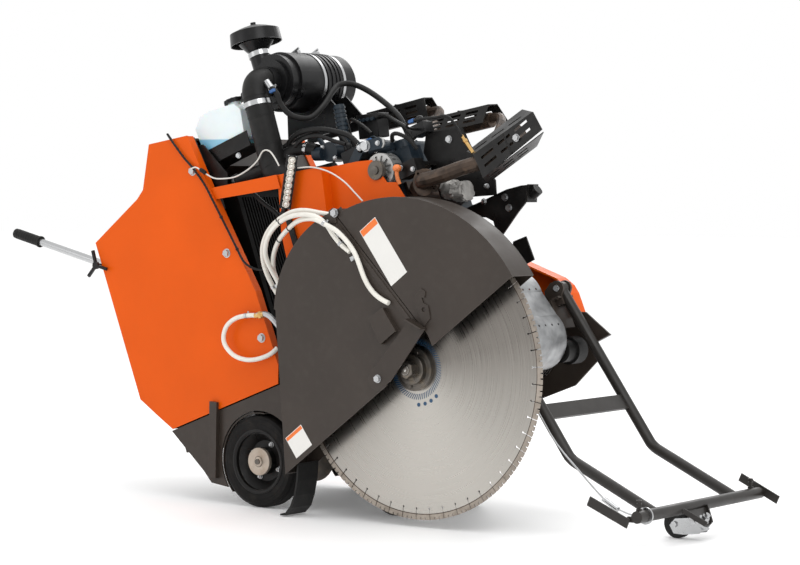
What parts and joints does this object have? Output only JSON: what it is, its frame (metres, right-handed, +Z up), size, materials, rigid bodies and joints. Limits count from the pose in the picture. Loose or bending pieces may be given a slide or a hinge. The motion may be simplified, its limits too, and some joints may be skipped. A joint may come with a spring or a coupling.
{
  "type": "walk-behind concrete saw",
  "caption": "Walk-behind road saw with a large diamond blade, two-part blade guard, engine, lifting front axle, pointer frame and telescopic handles.",
  "frame": {"origin": "centre of the bounding box on the floor plane, with the nose raised as it stands at rest", "axes": "+X forward in the direction of travel, +Y to the machine left, +Z up"},
  "size_m": [2.6865, 0.8274, 1.5766],
  "materials": {
    "chassis_paint": "satin",
    "orange_paint": "gloss",
    "black_paint": "satin",
    "black_plastic": "matte",
    "red_plastic": "gloss",
    "engine_paint": "satin",
    "exhaust_steel": "matte",
    "bottle_plastic": "translucent",
    "bare_steel": "satin",
    "diamond_segments": "matte",
    "cast_aluminium": "matte",
    "zinc_plate": "satin",
    "black_rubber": "matte",
    "tyre_rubber": "matte",
    "white_hose": "satin",
    "wire_plastic": "satin",
    "lamp_housing": "satin",
    "lamp_lens": "gloss"
  },
  "bodies": {
    "chassis": {"main_frame": "chassis_paint", "console_panels": "orange_paint", "console_body": "chassis_paint", "control_face": "black_plastic", "engine_side_cover": "orange_paint", "engine_block": "engine_paint", "cylinder_head": "engine_paint", "exhaust_system": "exhaust_steel", "heat_shields": "black_paint", "air_cleaner": "black_plastic", "wiring": "wire_plastic", "coolant_bottle": "bottle_plastic", "brackets": "black_paint", "radiator": "black_paint", "alternator": "cast_aluminium", "belts": "black_rubber", "shaft_bearings": "black_paint", "guard_rear": "chassis_paint", "water_hoses": "white_hose", "engine_hoses": "black_rubber", "belt_cover": "orange_paint", "belt_guard": "zinc_plate", "fuel_tank": "black_plastic", "battery": "black_paint", "fasteners": "zinc_plate", "mud_flap": "black_rubber"},
    "estop": {"estop_button": "red_plastic"},
    "lever": {"speed_lever": "black_plastic"},
    "coolant_cap_body": {"coolant_cap": "black_plastic"},
    "fuel_cap_body": {"fuel_cap": "black_plastic"},
    "fan": {"cooling_fan": "black_plastic"},
    "crank": {"crankshaft": "bare_steel"},
    "spindle": {"blade_shaft": "bare_steel", "blade_core": "bare_steel", "blade_segments": "diamond_segments", "blade_flanges": "bare_steel", "arbor_nut": "zinc_plate"},
    "guard_front_body": {"guard_front": "chassis_paint"},
    "latch": {"guard_latch": "chassis_paint"},
    "roller": {"front_roller": "black_rubber"},
    "front_axle": {"front_axle_frame": "chassis_paint"},
    "front_wheel_r": {"front_wheel_right": "black_rubber"},
    "front_wheel_l": {"front_wheel_left": "black_rubber"},
    "lift_barrel": {"lift_cylinder": "black_paint"},
    "lift_piston": {"lift_rod": "zinc_plate"},
    "rear_wheels": {"rear_axle": "bare_steel", "rear_rims": "black_paint", "rear_tyres": "tyre_rubber"},
    "pointer": {"pointer_frame": "chassis_paint", "pointer_cable": "zinc_plate"},
    "caster_swivel": {"caster_fork": "zinc_plate"},
    "caster_roll": {"caster_wheel": "black_rubber"},
    "handle_r": {"handle_right": "zinc_plate", "grip_right": "black_rubber"},
    "handle_l": {"handle_left": "zinc_plate", "grip_left": "black_rubber"},
    "knob_r": {"knob_right": "black_plastic"},
    "knob_l": {"knob_left": "black_plastic"},
    "lamp": {"work_light": "lamp_housing", "light_lens": "lamp_lens"}
  },
  "joints": [
    {"name": "estop_press", "type": "slide", "parent": "chassis", "child": "estop", "axis": [0.6067, 0, -0.7949], "range_m": [0, 0.007], "stiffness_N_per_m": 600},
    {"name": "speed_lever_tilt", "type": "hinge", "parent": "chassis", "child": "lever", "pos_m": [-0.8068, 0.166, 0.91785], "axis": [0, 1, 0], "range_deg": [-18, 18]},
    {"name": "coolant_cap_turn", "type": "hinge", "parent": "chassis", "child": "coolant_cap_body", "pos_m": [-0.39301, -0.144, 1.31612], "axis": [-0.3535, 0, 0.9354], "continuous": true},
    {"name": "fuel_cap_turn", "type": "hinge", "parent": "chassis", "child": "fuel_cap_body", "pos_m": [-0.6231, -0.104, 0.84433], "axis": [-0.3535, 0, 0.9354], "continuous": true},
    {"name": "cooling_fan_spin", "type": "hinge", "parent": "chassis", "child": "fan", "pos_m": [-0.35242, 0.056, 0.72212], "axis": [0.9354, 0, 0.3535], "continuous": true},
    {"name": "blade_spin", "type": "hinge", "parent": "chassis", "child": "spindle", "pos_m": [0.48023, -0.304, 0.48194], "axis": [0, 1, 0], "continuous": true},
    {"name": "crankshaft_spin", "type": "hinge", "parent": "chassis", "child": "crank", "pos_m": [0.27497, -0.304, 0.70263], "axis": [0, 1, 0], "continuous": true},
    {"name": "guard_front_lift", "type": "hinge", "parent": "chassis", "child": "guard_front_body", "pos_m": [0.22325, -0.304, 0.95375], "axis": [0, -1, 0], "range_deg": [0, 95]},
    {"name": "guard_latch_swing", "type": "hinge", "parent": "chassis", "child": "latch", "pos_m": [0.39309, -0.379, 0.45335], "axis": [0, 1, 0], "range_deg": [0, 60]},
    {"name": "front_roller_spin", "type": "hinge", "parent": "chassis", "child": "roller", "pos_m": [0.66085, -0.304, 0.51598], "axis": [0, 1, 0], "continuous": true},
    {"name": "front_axle_swing", "type": "hinge", "parent": "chassis", "child": "front_axle", "pos_m": [0.40929, -0.304, 0.34716], "axis": [0, 1, 0], "range_deg": [0, 30]},
    {"name": "front_wheel_right_spin", "type": "hinge", "parent": "front_axle", "child": "front_wheel_r", "pos_m": [0.26525, -0.104, 0.10031], "axis": [0, 1, 0], "continuous": true},
    {"name": "front_wheel_left_spin", "type": "hinge", "parent": "front_axle", "child": "front_wheel_l", "pos_m": [0.26525, 0.216, 0.10031], "axis": [0, 1, 0], "continuous": true},
    {"name": "lift_cylinder_swing", "type": "hinge", "parent": "chassis", "child": "lift_barrel", "pos_m": [0.02761, 0.056, 0.39536], "axis": [0, 1, 0], "range_deg": [-7.5, 0]},
    {"name": "lift_rod_slide", "type": "slide", "parent": "lift_barrel", "child": "lift_piston", "axis": [0.8294, 0, -0.5587], "range_m": [-0.085, 0]},
    {"name": "rear_wheels_spin", "type": "hinge", "parent": "chassis", "child": "rear_wheels", "pos_m": [-0.2, 0.056, 0.149], "axis": [0, 1, 0], "continuous": true},
    {"name": "pointer_lift", "type": "hinge", "parent": "chassis", "child": "pointer", "pos_m": [0.63122, 0.026, 0.71324], "axis": [0, -1, 0], "range_deg": [0, 105]},
    {"name": "caster_swivel", "type": "hinge", "parent": "pointer", "child": "caster_swivel", "pos_m": [1.306, -0.012, 0.057], "axis": [0.6691, 0, 0.7431], "continuous": true},
    {"name": "caster_wheel_spin", "type": "hinge", "parent": "caster_swivel", "child": "caster_roll", "pos_m": [1.223, -0.012, 0.043], "axis": [0, 1, 0], "continuous": true},
    {"name": "handle_right_slide", "type": "slide", "parent": "chassis", "child": "handle_r", "axis": [-0.9732, 0, 0.23], "range_m": [-0.2, 0]},
    {"name": "handle_left_slide", "type": "slide", "parent": "chassis", "child": "handle_l", "axis": [-0.9732, 0, 0.23], "range_m": [-0.2, 0]},
    {"name": "knob_right_turn", "type": "hinge", "parent": "chassis", "child": "knob_r", "pos_m": [-0.91406, -0.253, 0.76867], "axis": [0, 1, 0], "range_deg": [-180, 180]},
    {"name": "knob_left_turn", "type": "hinge", "parent": "chassis", "child": "knob_l", "pos_m": [-0.91406, 0.365, 0.76867], "axis": [0, -1, 0], "range_deg": [-180, 180]},
    {"name": "work_light_tilt", "type": "hinge", "parent": "chassis", "child": "lamp", "pos_m": [-0.08427, -0.256, 0.9473], "axis": [0, 1, 0], "range_deg": [-8, 0]}
  ],
  "couplings": [
    {"joint": "crankshaft_spin", "follows": "blade_spin", "ratio": 0.91215},
    {"joint": "lift_cylinder_swing", "follows": "front_axle_swing", "ratio": -0.24},
    {"joint": "lift_rod_slide", "follows": "front_axle_swing", "m_per_rad": -0.158}
  ]
}
